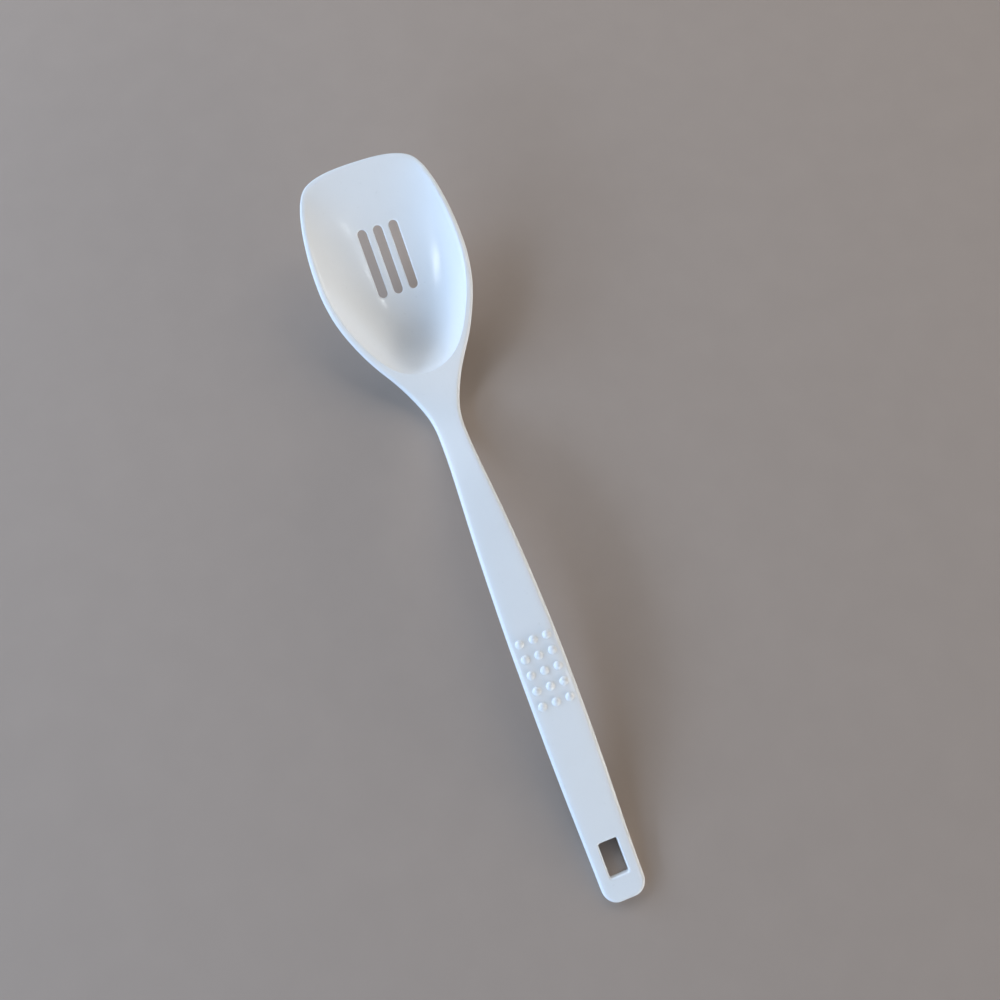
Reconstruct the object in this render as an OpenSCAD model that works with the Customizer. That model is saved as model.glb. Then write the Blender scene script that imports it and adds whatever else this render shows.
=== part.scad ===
// Slotted serving spoon, moulded in one piece from white plastic.
// Millimetres. +Y runs from the handle end to the bowl tip, +Z is up, +X is across.
// Origin: on the table, under the middle of the bounding box.

/* [Overall] */
// overall length, handle end to bowl tip
length = 305; // [290:1:320]
// height of the top of the arched handle above the table
arch_h = 20.5; // [18:0.5:23]
// height of the bowl tip above the table
tip_h = 38; // [36:0.5:40]

/* [Widths] */
// widest part of the handle
handle_w = 19.1; // [18:0.1:21]
// narrowest part of the neck
neck_w = 12; // [11.5:0.1:14]
// widest part of the bowl
bowl_w = 64; // [60:0.5:68]
// width of the bowl's rim
lip_w = 2.2; // [1.9:0.1:2.6]

/* [Slots] */
// width of one slot
slot_w = 3.9; // [3:0.1:3.9]
// length of one slot over its round ends
slot_l = 29; // [24:0.5:31]
// distance between slot centres
slot_pitch = 6.9; // [6.2:0.1:7.4]
// distance of the slots' middle from the handle end
slot_at = 269; // [267:0.5:271]

/* [Grip studs] */
// diameter of a stud where it meets the handle
stud_d = 3.2; // [2.6:0.1:3.6]
// height of a stud
stud_h = 1; // [0.5:0.05:1.2]
// distance between studs along the handle
stud_row = 6; // [5:0.1:6.4]
// distance between studs across the handle
stud_col = 5.4; // [4.6:0.1:5.5]
// distance of the middle stud from the handle end
stud_at = 86.5; // [82:0.5:92]

/* [Hanging hole] */
// width of the hole
hole_w = 7.4; // [6:0.1:8]
// length of the hole
hole_l = 12.8; // [11:0.1:13]
// distance of the hole's middle from the handle end
hole_at = 15; // [14.6:0.1:16]
// radius of the hole's corners
hole_r = 0.8; // [0.5:0.1:1.5]
// radius of the two corners at the handle end
end_r = 5.5; // [5:0.5:7]

/* [Hidden] */
$fn = 64;
white = [0.86, 0.88, 0.9];
base_l = 305;
cut_end = 30;
cut_grip = 160;
cut_neck = 200;
heel_at = 218.5;
heel_r = 21;
front_at = 303.6;
front_r = 60;
tip_r = 0.9;
nose_r = 1.6;

// stations: distance from the handle end, then the value there
HALF = [[0, 8.3], [20, 8.7], [40, 9.2], [60, 9.5], [80, 9.55], [100, 9.45], [115, 9.1],
    [130, 8.6], [145, 7.95], [160, 7.1], [175, 6.3], [187, 6], [195, 6.2], [201, 7.2],
    [206, 8.8], [211, 10.9], [216, 13.5], [221, 16.7], [226, 20.3], [231, 23.4], [236, 26],
    [241, 28.2], [246, 29.9], [252, 31.2], [258, 31.9], [263, 32], [269, 31.8], [275, 31.3],
    [281, 30.5], [287, 29.3], [292, 27.9], [296, 26.3], [298.5, 24.9], [300.5, 23.1],
    [302, 20.7], [303.2, 17.6], [304, 14.3], [304.6, 10.5], [305, 6]];
TOP = [[0, 4.2], [10, 4.4], [20, 5.4], [32, 7.8], [46, 11.2], [60, 14.4], [75, 17.2],
    [90, 19.1], [105, 20.2], [120, 20.5], [135, 20], [150, 18.6], [162, 16.6], [174, 13.6],
    [184, 10.6], [192, 8.4], [198, 7.2], [204, 6.6], [210, 7], [216, 8.6], [222, 11.1],
    [228, 14], [236, 17.9], [245, 22], [256, 26.2], [268, 30], [280, 33.2], [292, 35.9],
    [305, 38]];
LOW = [[0, -0.4], [14, -0.4], [20, 0.2], [32, 2.4], [46, 5.4], [60, 8.3], [75, 10.8],
    [90, 12.6], [105, 13.6], [120, 13.9], [135, 13.4], [150, 12], [162, 10.1], [174, 7.2],
    [184, 4.2], [192, 2], [198, 0.7], [204, -0.1], [210, -0.3], [215, 0.1], [221, 1.1],
    [228, 2.3], [236, 3.5], [244, 5.2], [251, 7.5], [258, 10.8], [265, 14.4], [272, 18],
    [280, 22.3], [288, 26.8], [296, 31.3], [305, 36]];
DEEP = [[218.5, 0], [221, 2.6], [224, 5.2], [228, 8.2], [232, 10.5], [237, 12.5],
    [244, 14.1], [251, 14.3], [258, 13.3], [265, 11.6], [272, 10], [280, 7.9], [288, 5.3],
    [296, 2.6], [303.6, 0]];
EDGE = [[0, 1.4], [20, 1.5], [60, 1.6], [204, 1.6], [216, 1.6], [226, 1.5], [286, 1.5],
    [297, 1], [305, 0.8]];
CROWN = [[0, 0.25], [30, 0.4], [160, 0.4], [190, 0.35], [205, 0.15], [216, 0], [305, 0]];
SIDE = [[0, 4.2], [20, 4.9], [40, 5.6], [60, 6], [150, 6], [175, 5.8], [190, 5.5], [198, 4.8],
    [204, 4], [210, 3.4], [216, 2.9], [222, 2.5], [230, 2.2], [286, 2.2], [305, 1.8]];
UNDER = [[0, 1], [20, 1.6], [40, 2.2], [160, 2.2], [190, 1.8], [204, 1.2], [216, 0.7],
    [226, 0.5], [305, 0.5]];
KEEL = [[0, 3], [190, 3], [204, 2.8], [215, 2.6], [305, 2.6]];

// smooth curve through the stations
function seg(t, u, i = 0) = (i >= len(t) - 2 || u < t[i + 1][0]) ? i : seg(t, u, i + 1);
function rise(t, i) = (t[i + 1][1] - t[i][1]) / (t[i + 1][0] - t[i][0]);
function gap(t, i) = t[i + 1][0] - t[i][0];
function slope(t, i) = i == 0 ? rise(t, 0) : i == len(t) - 1 ? rise(t, i - 1)
    : (gap(t, i) * rise(t, i - 1) + gap(t, i - 1) * rise(t, i)) / (gap(t, i) + gap(t, i - 1));
function curve(t, u) = let (i = seg(t, u), h = gap(t, i), s = min(1, max(0, (u - t[i][0]) / h)))
    (2 * s * s * s - 3 * s * s + 1) * t[i][1] + (s * s * s - 2 * s * s + s) * h * slope(t, i)
    + (3 * s * s - 2 * s * s * s) * t[i + 1][1] + (s * s * s - s * s) * h * slope(t, i + 1);

// what the sliders change at each station
function wide(u) = lookup(u, [[0, handle_w / 19.1], [120, handle_w / 19.1], [180, neck_w / 12],
    [200, neck_w / 12], [250, bowl_w / 64], [305, bowl_w / 64]]);
function lift(u) = lookup(u, [[0, 0], [24, 0], [120, arch_h - 20.5], [200, 0], [225, 0],
    [305, tip_h - 38]]);

// rounding of the handle's nose and of the bowl's tip
function nose(u) = u < nose_r ? nose_r - sqrt(nose_r * nose_r - pow(nose_r - u, 2)) : 0;
function tip(u) = u > base_l - tip_r ? tip_r - sqrt(max(0, tip_r * tip_r - pow(u - base_l + tip_r, 2))) : 0;
function corner(u) = u < end_r ? end_r - sqrt(end_r * end_r - pow(end_r - u, 2)) : 0;

function half(u) = curve(HALF, u) * wide(u) - corner(u);
function reach(u) = u < 292 ? half(u) + corner(u) : half(292) - 0.2 * (u - 292);
function top(u) = curve(TOP, u) + lift(u) - nose(u) - 0.65 * tip(u);
function low(u) = curve(LOW, u) + lift(u) + 0.5 * nose(u) + 0.65 * tip(u);
function thick(u) = top(u) - low(u);
function side(u) = min(curve(SIDE, u), 0.9 * thick(u));
function under(u) = min(curve(UNDER, u), half(u) * 0.4, 0.35 * side(u));
function edge(u) = min(curve(EDGE, u), half(u) * 0.5, side(u) - under(u) - 0.06);
function deep(u) = (u <= heel_at || u >= front_at) ? 0 : curve(DEEP, u);

// half width of the hollow: inside the rim, the heel's arc and the front's arc
function soft(a, b, c) = pow(pow(a, -8) + pow(b, -8) + pow(c, -8), -1 / 8);
function hollow(u) = let (w = half(u), most = w - max(lip_w, edge(u) + 0.2),
        least = most * lookup(u, [[204, 0.9], [216, 0.3]]))
    (u <= heel_at || u >= front_at) ? least
    : max(least, soft(most, sqrt(2 * heel_r * (u - heel_at)), sqrt(2 * front_r * (front_at - u))));

// right half of a section, from the keel round the edge to the middle of the top
BASE_STEPS = [0, 0.25, 0.5, 0.7, 0.86, 1];
HOLLOW_STEPS = [1, 0.96, 0.9, 0.82, 0.72, 0.6, 0.46, 0.3, 0.15];
function crowned(u, x) = top(u) - curve(CROWN, u) * pow(x / half(u), 6);
function base(u, x) = low(u) + (thick(u) - side(u)) * pow(x / reach(u), curve(KEEL, u));
function right_half(u) = let (w = half(u), e = edge(u), f = under(u), c = hollow(u), d = deep(u))
    concat([for (r = BASE_STEPS) [(w - f) * r, base(u, (w - f) * r)]],
        [for (a = [22.5:22.5:90]) let (x = w - f + f * sin(a)) [x, base(u, x) + f - f * cos(a)]],
        [for (a = [0:22.5:90]) let (x = w - e + e * cos(a)) [x, crowned(u, x) - e + e * sin(a)]],
        [for (r = HOLLOW_STEPS) [c * r, crowned(u, c * r) - d * (1 - pow(r, 2.6))]],
        [[0, top(u) - d]]);
function section(u) = let (r = right_half(u), n = len(r))
    concat(r, [for (i = [n - 2:-1:1]) [-r[i][0], r[i][1]]]);
function place(u) = (u / base_l - 0.5) * length;

module loft(us) {
    n = len(section(us[0]));
    m = len(us);
    rings = [for (u = us) for (p = section(u)) [p[0], place(u), p[1]]];
    middles = [for (u = [us[0], us[m - 1]]) [0, place(u), (top(u) + low(u)) / 2]];
    sides = [for (j = [0:m - 2]) for (i = [0:n - 1]) let (a = j * n + i, b = j * n + (i + 1) % n)
        each [[a, b, a + n], [b, b + n, a + n]]];
    back = [for (i = [0:n - 1]) [m * n, (i + 1) % n, i]];
    front = [for (i = [0:n - 1]) [m * n + 1, (m - 1) * n + i, (m - 1) * n + (i + 1) % n]];
    polyhedron(points = concat(rings, middles), faces = concat(sides, back, front), convexity = 8);
}

// everything below the table, taken off to leave the flat spots that it stands on
module below_table() {
    translate([-60, -200, -20]) cube([120, 400, 20]);
}

module hanging_end() {
    color(white) difference() {
        difference() {
            loft([0, 0.2, 0.6, 1.2, 2, 3, 4.2, 6, 8, 10.5, 14, 17, 20, 23, 26, cut_end]);
            below_table();
        }
        translate([0, place(hole_at), -5]) linear_extrude(30) offset(r = hole_r)
            square([hole_w - 2 * hole_r, hole_l - 2 * hole_r], center = true);
    }
}

module handle() {
    color(white) loft([for (u = [cut_end:5:cut_grip]) u]);
}

// one dome, its flat base lying on the handle
module stud(u, x) {
    ball = (stud_d * stud_d / 4 + stud_h * stud_h) / (2 * stud_h);
    along = atan((crowned(u + 1, x) - crowned(u - 1, x)) / 2);
    across = atan((crowned(u, x - 1) - crowned(u, x + 1)) / 2);
    translate([x, place(u), crowned(u, x)]) rotate([along, across, 0]) difference() {
        translate([0, 0, stud_h - ball]) sphere(ball);
        translate([-4, -4, -8]) cube(8);
    }
}

module grip_studs() {
    color(white) for (i = [-2:2]) for (j = [-1:1])
        stud(stud_at + i * stud_row * base_l / length, j * stud_col);
}

module neck() {
    color(white) loft([for (u = [cut_grip:2.5:cut_neck]) u]);
}

module slot(x) {
    z = top(slot_at) - deep(slot_at);
    a = atan((top(slot_at + 10) - deep(slot_at + 10) - top(slot_at - 10) + deep(slot_at - 10)) / 20);
    straight = slot_l - slot_w;
    translate([x, place(slot_at), z]) rotate([a, 0, 0]) translate([0, 0, -9]) linear_extrude(18) union() {
        square([slot_w, straight], center = true);
        translate([0, straight / 2]) circle(slot_w / 2);
        translate([0, -straight / 2]) circle(slot_w / 2);
    }
}

module bowl() {
    color(white) difference() {
        difference() {
            loft(concat([for (u = [cut_neck:2:216]) u], [218, 218.5, 219, 219.6, 220.4, 221.4, 222.6],
                [for (u = [224:2:296]) u], [297.3, 298.5, 299.5, 300.5, 301.3, 302, 302.6, 303.2,
                303.6, 304, 304.3, 304.6, 304.85, 305]));
            below_table();
        }
        for (j = [-1:1]) slot(j * slot_pitch);
    }
}

hanging_end();
handle();
grip_studs();
neck();
bowl();
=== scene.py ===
"""Looks of a slotted serving spoon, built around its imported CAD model.

The spoon is one moulding. Its skin is worked out whole, from the same stations as the CAD
part, and then parted at the CAD nodes' planes, so that each region is a closed piece.
Lengths are in millimetres until the meshes are made.
"""

import math

import bpy
import bmesh
import numpy as np
from mathutils import Matrix, Vector, kdtree
from mathutils.geometry import delaunay_2d_cdt


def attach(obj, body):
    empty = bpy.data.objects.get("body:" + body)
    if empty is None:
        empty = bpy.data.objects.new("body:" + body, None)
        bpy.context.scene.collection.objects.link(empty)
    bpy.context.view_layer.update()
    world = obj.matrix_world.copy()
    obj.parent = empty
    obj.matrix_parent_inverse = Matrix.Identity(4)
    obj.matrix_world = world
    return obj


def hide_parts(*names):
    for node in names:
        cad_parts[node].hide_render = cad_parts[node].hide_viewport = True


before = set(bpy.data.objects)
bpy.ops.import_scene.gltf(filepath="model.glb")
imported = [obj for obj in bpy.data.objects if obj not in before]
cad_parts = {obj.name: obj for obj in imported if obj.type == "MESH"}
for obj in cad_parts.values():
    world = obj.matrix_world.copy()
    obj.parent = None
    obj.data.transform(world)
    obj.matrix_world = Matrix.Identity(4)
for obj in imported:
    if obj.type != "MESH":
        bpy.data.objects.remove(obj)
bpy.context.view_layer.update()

# ------------------------------------------------------------------ stations
LENGTH = 305.0
HALF = [[0, 8.3], [20, 8.7], [40, 9.2], [60, 9.5], [80, 9.55], [100, 9.45], [115, 9.1],
        [130, 8.6], [145, 7.95], [160, 7.1], [175, 6.3], [187, 6.0], [195, 6.2], [201, 7.2],
        [206, 8.8], [211, 10.9], [216, 13.5], [221, 16.7], [226, 20.3], [231, 23.4], [236, 26],
        [241, 28.2], [246, 29.9], [252, 31.2], [258, 31.9], [263, 32], [269, 31.8], [275, 31.3],
        [281, 30.5], [287, 29.3], [292, 27.9], [296, 26.3], [298.5, 24.9], [300.5, 23.1],
        [302, 20.7], [303.2, 17.6], [304, 14.3], [304.6, 10.5], [305, 6]]
TOP = [[0, 4.2], [10, 4.4], [20, 5.4], [32, 7.8], [46, 11.2], [60, 14.4], [75, 17.2],
       [90, 19.1], [105, 20.2], [120, 20.5], [135, 20], [150, 18.6], [162, 16.6], [174, 13.6],
       [184, 10.6], [192, 8.4], [198, 7.2], [204, 6.6], [210, 7], [216, 8.6], [222, 11.1],
       [228, 14], [236, 17.9], [245, 22], [256, 26.2], [268, 30], [280, 33.2], [292, 35.9],
       [305, 38]]
LOW = [[0, -0.4], [14, -0.4], [20, 0.2], [32, 2.4], [46, 5.4], [60, 8.3], [75, 10.8],
       [90, 12.6], [105, 13.6], [120, 13.9], [135, 13.4], [150, 12], [162, 10.1], [174, 7.2],
       [184, 4.2], [192, 2], [198, 0.7], [204, -0.1], [210, -0.3], [215, 0.1], [221, 1.1],
       [228, 2.3], [236, 3.5], [244, 5.2], [251, 7.5], [258, 10.8], [265, 14.4], [272, 18],
       [280, 22.3], [288, 26.8], [296, 31.3], [305, 36]]
DEEP = [[218.5, 0], [221, 2.6], [224, 5.2], [228, 8.2], [232, 10.5], [237, 12.5],
        [244, 14.1], [251, 14.3], [258, 13.3], [265, 11.6], [272, 10], [280, 7.9], [288, 5.3],
        [296, 2.6], [303.6, 0]]
EDGE = [[0, 1.4], [20, 1.5], [60, 1.6], [204, 1.6], [216, 1.6], [226, 1.5],
        [286, 1.5], [297, 1.0], [305, 0.8]]
CROWN = [[0, 0.25], [30, 0.4], [160, 0.4], [190, 0.35], [205, 0.15], [216, 0], [305, 0]]
SIDE = [[0, 4.2], [20, 4.9], [40, 5.6], [60, 6], [150, 6], [175, 5.8], [190, 5.5], [198, 4.8],
        [204, 4], [210, 3.4], [216, 2.9], [222, 2.5], [230, 2.2], [286, 2.2], [305, 1.8]]
UNDER = [[0, 1], [20, 1.6], [40, 2.2], [160, 2.2], [190, 1.8], [204, 1.2], [216, 0.7],
         [226, 0.5], [305, 0.5]]
KEEL = [[0, 3], [190, 3], [204, 2.8], [215, 2.6], [305, 2.6]]
BEAD = [[219, 0], [226, 0.12], [234, 0.4], [282, 0.4], [294, 0.2], [303, 0.06]]
HEEL_AT, HEEL_R, FRONT_AT, FRONT_R, LIP = 218.5, 21.0, 303.6, 60.0, 2.2
END_R = 5.5
CUTS = [30.0, 160.0, 200.0]
REGIONS = ["hanging_end", "handle", "neck", "bowl"]
SLOT_W, SLOT_L, SLOT_PITCH, SLOT_AT = 3.9, 29.0, 6.9, 269.0
HOLE_W, HOLE_L, HOLE_AT = 7.4, 12.8, 15.0
STUD_D, STUD_H, STUD_ROW, STUD_COL, STUD_AT = 3.2, 1.0, 6.0, 5.4, 86.5


class Curve:
    """Smooth curve through stations, the same one as in the CAD part."""

    def __init__(self, pts):
        self.u = np.array([p[0] for p in pts], float)
        self.v = np.array([p[1] for p in pts], float)
        h = np.diff(self.u)
        r = np.diff(self.v) / h
        m = np.empty(len(pts))
        m[0], m[-1] = r[0], r[-1]
        m[1:-1] = (h[1:] * r[:-1] + h[:-1] * r[1:]) / (h[1:] + h[:-1])
        self.m = m

    def __call__(self, x):
        x = np.asarray(x, float)
        i = np.clip(np.searchsorted(self.u, x, side="right") - 1, 0, len(self.u) - 2)
        h = self.u[i + 1] - self.u[i]
        s = np.clip((x - self.u[i]) / h, 0, 1)
        return ((2 * s**3 - 3 * s**2 + 1) * self.v[i] + (s**3 - 2 * s**2 + s) * h * self.m[i]
                + (3 * s**2 - 2 * s**3) * self.v[i + 1] + (s**3 - s**2) * h * self.m[i + 1])


half, top, low, deep = Curve(HALF), Curve(TOP), Curve(LOW), Curve(DEEP)
edge, crown, side, under, keel = Curve(EDGE), Curve(CROWN), Curve(SIDE), Curve(UNDER), Curve(KEEL)
bead = Curve(BEAD)


def eased(f, u, r=2.0):
    """A station curve with its small unevenness averaged out over 2r mm."""
    u = np.asarray(u, float)
    total = np.zeros_like(u)
    weight = 0.0
    for o in np.linspace(-r, r, 9):
        k = math.cos(o / r * math.pi / 2.2)
        total += k * f(u + o)
        weight += k
    return total / weight


def width(u):
    return np.where((np.asarray(u) > 8) & (np.asarray(u) < 294), eased(half, u), half(u))


def reach(u):
    u = np.asarray(u, float)
    return np.where(u < 292, width(np.minimum(u, 292)), half(292) - 0.2 * (u - 292))


def hollow_half(u):
    u = np.asarray(u, float)
    most = np.maximum(reach(u) - LIP, 1.0)
    heel = 2 * HEEL_R * np.maximum(u - HEEL_AT, 0.01)
    front = 2 * FRONT_R * np.maximum(FRONT_AT - u, 0.01)
    return (most**-8 + heel**-4 + front**-4) ** (-1 / 8)


def hollow(x, u):
    """Depth of the bowl's hollow under its rim, negative outside it."""
    x, u = np.abs(np.asarray(x, float)), np.asarray(u, float)
    d = np.where(u < HEEL_AT, 0.88 * (u - HEEL_AT),
                 np.where(u > FRONT_AT, -0.35 * (u - FRONT_AT), eased(deep, u, 1.0)))
    return d - np.maximum(d, 0.009) * (x / hollow_half(u)) ** 2.6


def top_z(x, u, soft=0.08):
    h = hollow(x, u)
    drop = 0.5 * (h + np.sqrt(h * h + 4 * soft * soft))
    drop = drop + bead(u) * (1 - np.exp(-drop / 0.35))  # the rim stands proud of the wall as a bead
    drop = np.where(np.asarray(u) < 205, 0, drop)
    return eased(top, u) - crown(u) * (np.asarray(x) / width(u)) ** 6 - drop


def base_z(x, u):
    t, l = eased(top, u), eased(low, u)
    z = l + (t - l - side(u)) * (np.abs(x) / reach(u)) ** keel(u)
    return np.maximum(z, 0.0)


# ------------------------------------------------------------------ outline
def catmull(p, n):
    out = []
    for i in range(1, len(p) - 2):
        p0, p1, p2, p3 = p[i - 1], p[i], p[i + 1], p[i + 2]
        for s in np.linspace(0, 1, n, endpoint=False):
            out.append(0.5 * (2 * p1 + (p2 - p0) * s + (2 * p0 - 5 * p1 + 4 * p2 - p3) * s**2
                              + (3 * p1 - p0 - 3 * p2 + p3) * s**3))
    return out


def outline():
    """Plan outline as (x, u), from the middle of the handle end up the right side to the tip and back."""
    pts = [np.array([x, 0.0]) for x in np.linspace(0, float(half(0)) - END_R, 5)[:-1]]
    for a in np.radians(np.linspace(0, 90, 16)):
        u = END_R - END_R * math.cos(a)
        pts.append(np.array([float(half(u)) - END_R + END_R * math.sin(a), u]))
    us = np.concatenate([np.arange(7, 30, 1.0), np.arange(30, 160, 1.25), np.arange(160, 200, 1.0),
                         np.arange(200, 294, 0.8)])
    pts += [np.array([float(width(u)), u]) for u in us]
    tip = [[27.9, 292], [27.35, 293.7], [26.3, 296], [24.9, 298.5], [23.1, 300.5], [20.7, 302], [17.6, 303.2],
           [14.3, 304], [10.5, 304.55], [6, 304.88], [0, 305], [-6, 304.88]]
    smooth = catmull([np.array(p, float) for p in tip], 4)
    pts += [p for p in smooth if p[1] > 294.2] + [np.array([0.0, 305.0])]
    right = np.array(pts)
    left = right[-2:0:-1] * [-1, 1]
    loop = np.vstack([right, left])
    t = np.roll(loop, -1, 0) - np.roll(loop, 1, 0)
    n = np.stack([-t[:, 1], t[:, 0]], 1)
    n /= np.linalg.norm(n, axis=1)[:, None]  # points into the spoon
    for c in CUTS:  # sections stay in their plane where the moulding is parted
        near = np.abs(loop[:, 1] - c)
        k = np.clip(near / 5.0, 0, 1)
        k = (k * k * (3 - 2 * k))[:, None]
        flat = np.stack([-np.sign(loop[:, 0]), np.zeros(len(loop))], 1)
        hit = near < 5.0
        n[hit] = (n * k + flat * (1 - k))[hit]
    return loop, n / np.linalg.norm(n, axis=1)[:, None]


# ------------------------------------------------------------------ skin
V, F = [], []


def add(points):
    start = len(V)
    V.extend([tuple(map(float, p)) for p in points])
    return np.arange(start, len(V))


def band(a, b, closed=True):
    n = len(a)
    for i in range(n if closed else n - 1):
        j = (i + 1) % n
        F.append((a[i], a[j], b[j], b[i]))


def inside(poly, pts):
    x, y = pts[:, 0], pts[:, 1]
    hit = np.zeros(len(pts), bool)
    px, py = poly[:, 0], poly[:, 1]
    qx, qy = np.roll(px, -1), np.roll(py, -1)
    for i in range(len(poly)):
        if py[i] == qy[i]:
            continue
        cross = ((py[i] > y) != (qy[i] > y)) & (x < (qx[i] - px[i]) * (y - py[i]) / (qy[i] - py[i]) + px[i])
        hit ^= cross
    return hit


def fill(border, holes, chains, loose, z_of):
    """Triangles between a border loop and hole loops, through chains and loose points, laid on z_of."""
    ids = list(border)
    edges = [(i, (i + 1) % len(border)) for i in range(len(border))]
    for h in holes:
        s = len(ids)
        ids += list(h)
        edges += [(s + i, s + (i + 1) % len(h)) for i in range(len(h))]
    where = {v: i for i, v in enumerate(ids)}
    for a, mids, b in chains:
        new = add(mids)
        s = len(ids)
        ids += list(new)
        row = [where[a]] + list(range(s, s + len(new))) + [where[b]]
        edges += list(zip(row[:-1], row[1:]))
    plan = np.array([V[i][:2] for i in ids])
    ok = inside(np.array([V[i][:2] for i in border]), loose)
    for h in holes:
        ok &= ~inside(np.array([V[i][:2] for i in h]), loose)
    loose = loose[ok]
    tree = kdtree.KDTree(len(plan))
    for i, p in enumerate(plan):
        tree.insert((p[0], p[1], 0), i)
    tree.balance()
    keep = []
    for p in loose:
        if tree.find((p[0], p[1], 0))[2] > p[2] * 0.6:
            keep.append(p)
    keep = np.array(keep)
    # thin out loose points that crowd each other, finer ones first
    order = np.argsort(keep[:, 2], kind="stable")
    cell, final = {}, []
    for i in order:
        p = keep[i]
        r = p[2] * 0.62
        c = (int(p[0] // 1.0), int(p[1] // 1.0))
        close = False
        for dx in (-1, 0, 1):
            for dy in (-1, 0, 1):
                for q in cell.get((c[0] + dx, c[1] + dy), ()):
                    if (q[0] - p[0]) ** 2 + (q[1] - p[1]) ** 2 < r * r:
                        close = True
        if not close:
            cell.setdefault(c, []).append(p)
            final.append(p)
    final = np.array(final)
    new = add(np.column_stack([final[:, :2], z_of(final[:, 0], final[:, 1])]))
    ids += list(new)
    flat = [Vector(V[i][:2]) for i in ids]
    out, _, faces, orig, _, _ = delaunay_2d_cdt(flat, edges, [], 0, 1e-6)
    name = []
    for i, p in enumerate(out):
        if orig[i]:
            name.append(ids[orig[i][0]])
        else:
            name.append(int(add([(p[0], p[1], float(z_of(p[0], p[1])))])[0]))
    mid = np.array([[sum(out[v][k] for v in f) / 3 for k in (0, 1)] for f in faces])
    ok = inside(np.array([V[i][:2] for i in border]), mid)
    for h in holes:
        ok &= ~inside(np.array([V[i][:2] for i in h]), mid)
    for f, good in zip(faces, ok):
        if good:
            F.append(tuple(name[v] for v in f))


def stadium(w, l, n=14):
    """Round-ended slot: points and outward normals."""
    r, s = w / 2, (l - w) / 2
    pts, nor = [], []
    for a in np.radians(np.linspace(0, 180, n)):
        pts.append((r * math.cos(a), s + r * math.sin(a)))
        nor.append((math.cos(a), math.sin(a)))
    for y in np.linspace(s, -s, 26)[1:-1]:
        pts.append((-r, y))
        nor.append((-1, 0))
    for a in np.radians(np.linspace(180, 360, n)):
        pts.append((r * math.cos(a), -s + r * math.sin(a)))
        nor.append((math.cos(a), math.sin(a)))
    for y in np.linspace(-s, s, 26)[1:-1]:
        pts.append((r, y))
        nor.append((1, 0))
    return np.array(pts), np.array(nor)


def rectangle(w, l, r=0.8, n=6):
    pts, nor = [], []
    for cx, cy, a0 in ((1, 1, 0), (-1, 1, 90), (-1, -1, 180), (1, -1, 270)):
        for a in np.radians(np.linspace(a0, a0 + 90, n)):
            pts.append((cx * (w / 2 - r) + r * math.cos(a), cy * (l / 2 - r) + r * math.sin(a)))
            nor.append((math.cos(a), math.sin(a)))
    full_p, full_n = [], []
    for i in range(len(pts)):
        p, q = np.array(pts[i]), np.array(pts[(i + 1) % len(pts)])
        full_p.append(p)
        full_n.append(nor[i])
        steps = int(np.linalg.norm(q - p) / 0.8)
        for s in range(1, steps):
            full_p.append(p + (q - p) * s / steps)
            full_n.append(nor[i])
    return np.array(full_p), np.array(full_n)


def opening(pts, nor, x0, u0, tilt, r_top, r_low, steps=6):
    """Walls of a through opening cut square to the tilted floor, with rounded edges.
    Returns the loops where it meets the top and the underside."""
    ca, sa = math.cos(tilt), math.sin(tilt)

    def surface(o):
        x = x0 + pts[:, 0] + o * nor[:, 0]
        u = u0 + (pts[:, 1] + o * nor[:, 1]) * ca
        z = top_z(x, u)
        th = np.full(len(x), 2.5)
        for _ in range(30):
            th += 0.7 * (z - th * ca - base_z(x, u + th * sa)) / ca
        return x, u, z, th

    def ring(o, depth):
        x, u, z, th = surface(o)
        d = depth(th)
        return add(np.column_stack([x, u + d * sa, z - d * ca]))

    rings = []
    for t in np.radians(np.linspace(0, 90, steps)):
        rings.append(ring(r_top * (1 - math.sin(t)), lambda th, t=t: 0 * th + r_top * (1 - math.cos(t))))
    rings.append(ring(0, lambda th: 0.5 * th))
    for t in np.radians(np.linspace(90, 0, steps)):
        rings.append(ring(r_low * (1 - math.sin(t)), lambda th, t=t: th - r_low * (1 - math.cos(t))))
    for a, b in zip(rings[:-1], rings[1:]):
        band(a, b)
    return rings[0], rings[-1]


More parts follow.
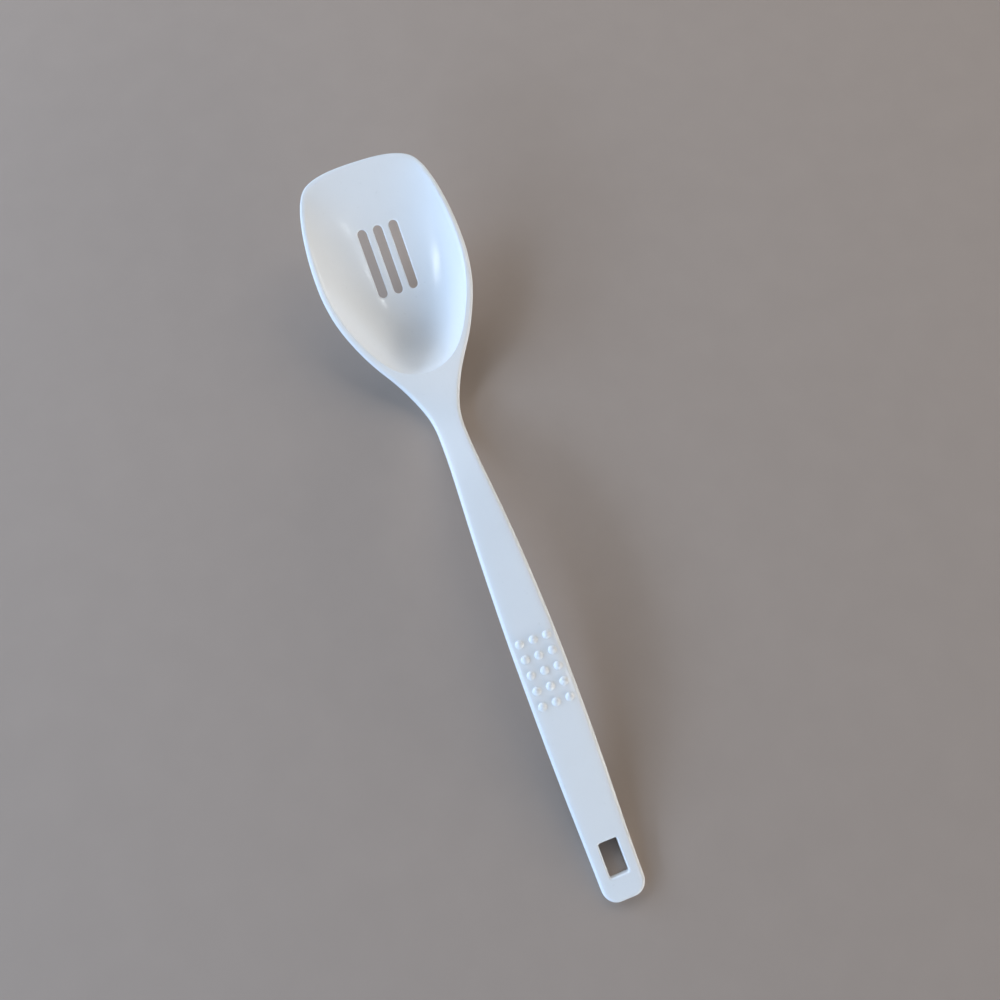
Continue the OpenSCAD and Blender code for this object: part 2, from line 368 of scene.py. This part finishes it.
def build_skin():
    loop, nor = outline()
    e, f = eased(edge, loop[:, 1]), under(loop[:, 1])
    tops, lows = [], []
    for a in np.radians(np.linspace(0, 90, 9)):
        p = loop + nor * (e * (1 - math.cos(a)))[:, None]
        tops.append(add(np.column_stack([p, top_z(p[:, 0], p[:, 1]) - e * (1 - math.sin(a))])))
    for a in np.radians(np.linspace(0, 90, 6)):
        p = loop + nor * (f * (1 - math.cos(a)))[:, None]
        lows.append(add(np.column_stack([p, base_z(p[:, 0], p[:, 1]) + f * (1 - math.sin(a))])))
    for a, b in zip(tops[:-1], tops[1:]):
        band(a, b)
    for a, b in zip(lows[:-1], lows[1:]):
        band(a, b)
    band(tops[0], lows[0])

    tilt = math.atan((float(top_z(0, SLOT_AT + 10)) - float(top_z(0, SLOT_AT - 10))) / 20)
    holes_top, holes_low = [], []
    sp, sn = stadium(SLOT_W, SLOT_L)
    for x0 in (-SLOT_PITCH, 0, SLOT_PITCH):
        a, b = opening(sp, sn, x0, SLOT_AT, tilt, 0.55, 0.4)
        holes_top.append(a)
        holes_low.append(b)
    rp, rn = rectangle(HOLE_W, HOLE_L)
    a, b = opening(rp, rn, 0, HOLE_AT, 0.0, 0.75, 0.3)
    holes_top.append(a)
    holes_low.append(b)

    def chain(loops, c, z_of):
        hits = [i for i in range(len(loop)) if abs(loop[i, 1] - c) < 1e-9]
        r, l = sorted(hits, key=lambda i: -loop[i, 0])
        a, b = loops[-1][r], loops[-1][l]
        xs = np.linspace(V[a][0], V[b][0], max(6, int((V[a][0] - V[b][0]) / 0.9)))[1:-1]
        return a, [(x, c, float(z_of(x, c))) for x in xs], b

    def grid(step, lo, hi, x_max):
        rows = np.arange(lo, hi, step * 0.866)
        out = []
        for i, u in enumerate(rows):
            xs = np.arange(-x_max, x_max, step) + (step / 2 if i % 2 else 0)
            out.append(np.column_stack([xs, np.full(len(xs), u), np.full(len(xs), step)]))
        return np.vstack(out)

    # loops that follow the sharp border of the hollow, close together where it bends
    us = np.concatenate([HEEL_AT + 12 * np.linspace(0.001, 1, 60) ** 2, np.arange(231, 298, 0.5),
                         FRONT_AT - 5.6 * np.linspace(1, 0.001, 40) ** 2])
    rim = np.column_stack([hollow_half(us), us])
    rim = np.vstack([rim, rim[::-1] * [-1, 1]])
    t = np.roll(rim, -1, 0) - np.roll(rim, 1, 0)
    rn2 = np.stack([t[:, 1], -t[:, 0]], 1)
    rn2 /= np.linalg.norm(rn2, axis=1)[:, None] + 1e-12
    near = []
    for o in (-1.7, -1.25, -0.9, -0.6, -0.4, -0.2, 0, 0.2, 0.4):
        q = rim + rn2 * o
        near.append(np.column_stack([q, np.full(len(q), 0.28 if abs(o) < 0.7 else 0.4)]))
    around = []
    for x0 in (-SLOT_PITCH, 0, SLOT_PITCH):
        for o in (0.85, 1.2):
            around.append(np.column_stack([x0 + sp[:, 0] + o * sn[:, 0],
                                           SLOT_AT + (sp[:, 1] + o * sn[:, 1]) * math.cos(tilt),
                                           np.full(len(sp), 0.4)]))
    for o in (0.95, 1.3):
        around.append(np.column_stack([rp[:, 0] + o * rn[:, 0], HOLE_AT + rp[:, 1] + o * rn[:, 1],
                                       np.full(len(rp), 0.45)]))
    loose = np.vstack(near + around + [grid(1.3, 1, 200, 11), grid(0.95, 200, 305, 33)])
    fill(tops[-1], holes_top, [chain(tops, c, top_z) for c in CUTS], loose, top_z)
    fill(lows[-1], holes_low, [chain(lows, c, base_z) for c in CUTS],
         np.vstack([grid(1.5, 1, 200, 11), grid(1.25, 200, 305, 33)]), base_z)


def skin_pieces():
    """Closes and turns the skin, takes its normals, and parts it into one mesh a region."""
    bm = bmesh.new()
    for v in V:
        bm.verts.new((v[0] * 0.001, (v[1] - LENGTH / 2) * 0.001, v[2] * 0.001))
    bm.verts.ensure_lookup_table()
    for f in F:
        bm.faces.new([bm.verts[i] for i in f])
    loose = [v for v in bm.verts if not v.link_faces]
    bmesh.ops.delete(bm, geom=loose, context="VERTS")
    bmesh.ops.recalc_face_normals(bm, faces=bm.faces)
    if bm.calc_volume(signed=True) < 0:
        bmesh.ops.reverse_faces(bm, faces=bm.faces)
    open_edges = sum(1 for e in bm.edges if len(e.link_faces) != 2)
    print("skin: verts", len(bm.verts), "faces", len(bm.faces), "open edges", open_edges)
    bm.normal_update()
    normal = {}
    for v in bm.verts:
        n = Vector()
        for l in v.link_loops:
            n += l.face.normal * l.calc_angle()
        normal[v.index] = n.normalized()
    cuts = [(c - LENGTH / 2) * 0.001 for c in CUTS]
    parts = [[] for _ in REGIONS]
    for f in bm.faces:
        parts[sum(f.calc_center_median().y > c for c in cuts)].append(f)
    made = []
    for name, faces in zip(REGIONS, parts):
        index, co, polys, loops_n = {}, [], [], []

        def at(v):
            if v.index not in index:
                index[v.index] = len(co)
                co.append(tuple(v.co))
            return index[v.index]

        once = {}
        for f in faces:
            polys.append([at(l.vert) for l in f.loops])
            loops_n += [normal[l.vert.index] for l in f.loops]
            for l in f.loops:
                a, b = l.vert, l.link_loop_next.vert
                if (b.index, a.index) in once:
                    del once[(b.index, a.index)]
                else:
                    once[(a.index, b.index)] = (a, b)
        follow = {b.index: a for a, b in once.values()}  # caps run against the skin
        verts = {v.index: v for pair in once.values() for v in pair}
        while follow:
            start = next(iter(follow))
            ring, cur = [], start
            while cur in follow:
                ring.append(cur)
                cur = follow.pop(cur).index
            pts = [verts[i] for i in ring]
            mid = sum((p.co for p in pts), Vector()) / len(pts)
            toward = Vector((0, 1 if mid.y > sum(c[1] for c in co) / len(co) else -1, 0))
            centre = len(co)
            co.append(tuple(mid))
            for i, p in enumerate(pts):
                q = pts[(i + 1) % len(pts)]
                polys.append([centre, index[p.index], index[q.index]])
                loops_n += [toward] * 3
        me = bpy.data.meshes.new(name)
        me.from_pydata(co, [], polys)
        me.update()
        for p in me.polygons:
            p.use_smooth = True
        me.normals_split_custom_set([tuple(n) for n in loops_n])
        made.append((name, me))
    bm.free()
    return made


def stud_mesh():
    """Small domes on the grip, each closed, its foot let a hair into the handle."""
    ball = (STUD_D**2 / 4 + STUD_H**2) / (2 * STUD_H)
    radii = [0.25, 0.5, 0.75, 0.98, 1.18, 1.34, 1.46, 1.54, 1.6, 1.66, 1.73, 1.8]
    lift = [math.sqrt(ball**2 - r * r) - (ball - STUD_H) for r in radii[:8]] + [0.075, 0.03, 0.004, -0.02]
    n = 40
    turn = np.linspace(0, 2 * math.pi, n, endpoint=False)
    co, polys = [], []
    for i in range(-2, 3):
        for j in (-1, 0, 1):
            x0, u0 = j * STUD_COL, STUD_AT + i * STUD_ROW
            s = len(co)
            co.append((x0, u0, float(top_z(x0, u0)) + STUD_H))
            for r, h in zip(radii, lift):
                x, u = x0 + r * np.cos(turn), u0 + r * np.sin(turn)
                co += list(zip(x, u, top_z(x, u) + h))
            co.append((x0, u0, float(top_z(x0, u0)) - 0.06))
            m = len(radii)
            for k in range(n):
                k2 = (k + 1) % n
                polys.append((s, s + 1 + k, s + 1 + k2))
                for q in range(m - 1):
                    a, b = s + 1 + q * n, s + 1 + (q + 1) * n
                    polys.append((a + k, b + k, b + k2, a + k2))
                last = s + 1 + (m - 1) * n
                polys.append((last + k2, last + k, s + 1 + m * n))
    me = bpy.data.meshes.new("grip_studs")
    me.from_pydata([(c[0] * 0.001, (c[1] - LENGTH / 2) * 0.001, c[2] * 0.001) for c in co], [], polys)
    me.update()
    for p in me.polygons:
        p.use_smooth = True
    return me


# ------------------------------------------------------------------ material
def plastic():
    mat = bpy.data.materials.new("white_plastic")
    mat.use_nodes = True
    nt = mat.node_tree
    nt.nodes.clear()

    def node(kind, **kw):
        n = nt.nodes.new(kind)
        for k, v in kw.items():
            setattr(n, k, v)
        return n

    def link(a, b):
        nt.links.new(a, b)

    out = node("ShaderNodeOutputMaterial")
    sh = node("ShaderNodeBsdfPrincipled")
    link(sh.outputs["BSDF"], out.inputs["Surface"])
    sh.inputs["IOR"].default_value = 1.5
    sh.inputs["Specular IOR Level"].default_value = 0.5
    pos = node("ShaderNodeTexCoord")

    # slow drift of the white, as a moulding cools unevenly, with faint staining
    cloud = node("ShaderNodeTexNoise")
    cloud.inputs["Scale"].default_value = 22.0
    cloud.inputs["Detail"].default_value = 4.0
    cloud.inputs["Roughness"].default_value = 0.55
    link(pos.outputs["Object"], cloud.inputs["Vector"])
    tone = node("ShaderNodeValToRGB")
    tone.color_ramp.elements[0].position = 0.3
    tone.color_ramp.elements[0].color = (0.80, 0.803, 0.806, 1)
    tone.color_ramp.elements[1].position = 0.72
    tone.color_ramp.elements[1].color = (0.84, 0.843, 0.846, 1)
    link(cloud.outputs["Fac"], tone.inputs["Fac"])
    speck = node("ShaderNodeTexNoise")
    speck.inputs["Scale"].default_value = 420.0
    speck.inputs["Detail"].default_value = 2.0
    link(pos.outputs["Object"], speck.inputs["Vector"])
    dots = node("ShaderNodeValToRGB")
    dots.color_ramp.elements[0].position = 0.69
    dots.color_ramp.elements[0].color = (0, 0, 0, 1)
    dots.color_ramp.elements[1].position = 0.78
    dots.color_ramp.elements[1].color = (0.22, 0.22, 0.22, 1)
    link(speck.outputs["Fac"], dots.inputs["Fac"])
    mix = node("ShaderNodeMix", data_type="RGBA")
    link(dots.outputs["Color"], mix.inputs["Factor"])
    link(tone.outputs["Color"], mix.inputs["A"])
    mix.inputs["B"].default_value = (0.66, 0.66, 0.65, 1)
    link(mix.outputs["Result"], sh.inputs["Base Color"])

    # hair-fine scratches along the spoon from washing and stirring
    stretch = node("ShaderNodeMapping")
    stretch.inputs["Scale"].default_value = (900.0, 55.0, 200.0)
    stretch.inputs["Rotation"].default_value = (0, 0, 0.25)
    link(pos.outputs["Object"], stretch.inputs["Vector"])
    scratch = node("ShaderNodeTexNoise")
    scratch.inputs["Scale"].default_value = 1.0
    scratch.inputs["Detail"].default_value = 3.0
    link(stretch.outputs["Vector"], scratch.inputs["Vector"])
    peel = node("ShaderNodeTexNoise")
    peel.inputs["Scale"].default_value = 260.0
    peel.inputs["Detail"].default_value = 2.0
    link(pos.outputs["Object"], peel.inputs["Vector"])

    rough = node("ShaderNodeMapRange")
    rough.inputs["From Min"].default_value = 0.3
    rough.inputs["From Max"].default_value = 0.75
    rough.inputs["To Min"].default_value = 0.1
    rough.inputs["To Max"].default_value = 0.19
    link(scratch.outputs["Fac"], rough.inputs["Value"])
    link(rough.outputs["Result"], sh.inputs["Roughness"])

    b1 = node("ShaderNodeBump")
    b1.inputs["Strength"].default_value = 0.05
    b1.inputs["Distance"].default_value = 0.0003
    link(scratch.outputs["Fac"], b1.inputs["Height"])
    b2 = node("ShaderNodeBump")
    b2.inputs["Strength"].default_value = 0.06
    b2.inputs["Distance"].default_value = 0.0006
    link(peel.outputs["Fac"], b2.inputs["Height"])
    link(b1.outputs["Normal"], b2.inputs["Normal"])
    # fine grain that breaks up the gloss
    grain = node("ShaderNodeTexNoise")
    grain.inputs["Scale"].default_value = 1500.0
    grain.inputs["Detail"].default_value = 2.0
    link(pos.outputs["Object"], grain.inputs["Vector"])
    b3 = node("ShaderNodeBump")
    b3.inputs["Strength"].default_value = 0.2
    b3.inputs["Distance"].default_value = 0.0001
    link(grain.outputs["Fac"], b3.inputs["Height"])
    link(b2.outputs["Normal"], b3.inputs["Normal"])
    link(b3.outputs["Normal"], sh.inputs["Normal"])
    return mat


def floor_material():
    mat = bpy.data.materials.new("floor")
    mat.use_nodes = True
    nt = mat.node_tree
    sh = nt.nodes["Principled BSDF"]
    pos = nt.nodes.new("ShaderNodeTexCoord")
    grain = nt.nodes.new("ShaderNodeTexNoise")
    grain.inputs["Scale"].default_value = 60.0
    grain.inputs["Detail"].default_value = 5.0
    nt.links.new(pos.outputs["Object"], grain.inputs["Vector"])
    ramp = nt.nodes.new("ShaderNodeValToRGB")
    ramp.color_ramp.elements[0].position = 0.35
    ramp.color_ramp.elements[0].color = (0.385, 0.312, 0.264, 1)
    ramp.color_ramp.elements[1].position = 0.7
    ramp.color_ramp.elements[1].color = (0.395, 0.320, 0.271, 1)
    nt.links.new(grain.outputs["Fac"], ramp.inputs["Fac"])
    nt.links.new(ramp.outputs["Color"], sh.inputs["Base Color"])
    sh.inputs["Roughness"].default_value = 0.6
    sh.inputs["Specular IOR Level"].default_value = 0.25
    return mat


# ------------------------------------------------------------------ pieces
build_skin()
white = plastic()
made = skin_pieces() + [("grip_studs", stud_mesh())]
for name, me in made:
    ob = bpy.data.objects.new("skin_" + name, me)
    bpy.context.scene.collection.objects.link(ob)
    me.materials.append(white)
    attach(ob, "root")
    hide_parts(name)

# ------------------------------------------------------------------ stage
size = 2.4
ground = bpy.data.meshes.new("floor")
ground.from_pydata([(-size, -size, 0), (size, -size, 0), (size, size, 0), (-size, size, 0)], [], [(0, 1, 2, 3)])
floor = bpy.data.objects.new("floor", ground)
floor.location = (0, 0, -0.00002)
bpy.context.scene.collection.objects.link(floor)
ground.materials.append(floor_material())

# The photograph looks down from above the handle: a wide lens, tipped 14 degrees from straight down.
# right and ahead are the picture's right and upward directions, on the table.
TURN = math.radians(-20.41)
right = Vector((math.cos(TURN), math.sin(TURN), 0))
ahead = Vector((-math.sin(TURN), math.cos(TURN), 0))
PITCH = math.radians(14.0)
ROLL = math.radians(-0.21)
EYE = Vector((-0.0174, -0.0659, 0.3046))
forward = ahead * math.sin(PITCH) + Vector((0, 0, -1)) * math.cos(PITCH)
upward = ahead * math.cos(PITCH) + Vector((0, 0, 1)) * math.sin(PITCH)
cam_data = bpy.data.cameras.new("camera")
cam_data.sensor_fit = "HORIZONTAL"
cam_data.sensor_width = 36.0
cam_data.lens = 36.0 * 751.0 / 1000.0
cam_data.clip_start = 0.01
cam = bpy.data.objects.new("camera", cam_data)
across = right * math.cos(ROLL) + upward * math.sin(ROLL)
upright = upward * math.cos(ROLL) - right * math.sin(ROLL)
rot = Matrix((across, upright, -forward)).transposed()
cam.matrix_world = Matrix.Translation(EYE) @ rot.to_4x4()
bpy.context.scene.collection.objects.link(cam)
bpy.context.scene.camera = cam


def toward(turn, lift, far=1.6):
    """A spot by its direction: turn is 0 on the spoon's left and 90 past its tip, lift is above the table."""
    p, t = math.radians(turn), math.radians(lift)
    return Vector((-math.cos(p) * math.cos(t), math.sin(p) * math.cos(t), math.sin(t))) * far + AIM


def area(name, spot, sx, sy, power, colour, along=None):
    data = bpy.data.lights.new(name, "AREA")
    data.shape = "RECTANGLE"
    data.size, data.size_y = sx, sy
    data.energy = power
    data.color = colour
    ob = bpy.data.objects.new(name, data)
    z = (spot - AIM).normalized()
    x = (along or Vector((0, 0, 1)).cross(z)).normalized()
    y = z.cross(x).normalized()
    ob.matrix_world = Matrix.Translation(spot) @ Matrix((y.cross(z), y, z)).transposed().to_4x4()
    bpy.context.scene.collection.objects.link(ob)
    return ob


# cool daylight from low panels along the spoon's left, plain soft boxes on its right and past its tip,
# and slim strips that draw the gloss in the bowl
AIM = Vector((0, 0.02, 0))
COOL, PLAIN = (0.545, 0.735, 1.0), (1.0, 0.99, 0.96)
BROAD = {"right_mid": (1.4, 0.34), "right_near": (1.4, 0.34), "right_far": (1.6, 1.1)}
for name, turn, lift, power, colour in (
        ("left_low", -60, 8, 6.5, COOL), ("left_near", -25, 20, 9.3, COOL), ("left_mid", 10, 20, 9.8, COOL),
        ("left_mid_high", 10, 38, 2.0, COOL), ("left_far_low", 45, 8, 4.6, COOL),
        ("left_far", 45, 20, 9.6, COOL), ("left_far_high", 45, 38, 6.2, COOL),
        ("right_mid", 200, 10, 7.6, PLAIN), ("right_near", 240, 10, 13.4, PLAIN),
        ("right_far", 135, 43, 9.4, PLAIN), ("past_tip", 85, 38, 3.2, PLAIN)):
    soft = area(name, toward(turn, lift), *BROAD.get(name, (0.8, 0.34)), power, colour)
    soft.visible_glossy = False
for name, turn, lift, wide, high, power, first, last in (
        ("left_strip", -14, 43, 0.32, 0.16, 1.35, (-18, 48), (-8, 38)),
        ("right_strip", -132, 62.7, 0.14, 0.06, 0.55, (-127, 62), (-137, 63.5))):
    strip = area(name, toward(turn, lift), wide, high, power, (0.95, 1.0, 1.0), toward(*last) - toward(*first))
    strip.visible_diffuse = False
world = bpy.data.worlds.new("studio")
bpy.context.scene.world = world
world.use_nodes = True
bg = world.node_tree.nodes["Background"]
bg.inputs["Color"].default_value = (1.0, 0.99, 0.995, 1)
bg.inputs["Strength"].default_value = 0.01
bpy.context.scene.view_settings.view_transform = "Standard"
bpy.context.scene.view_settings.look = "None"
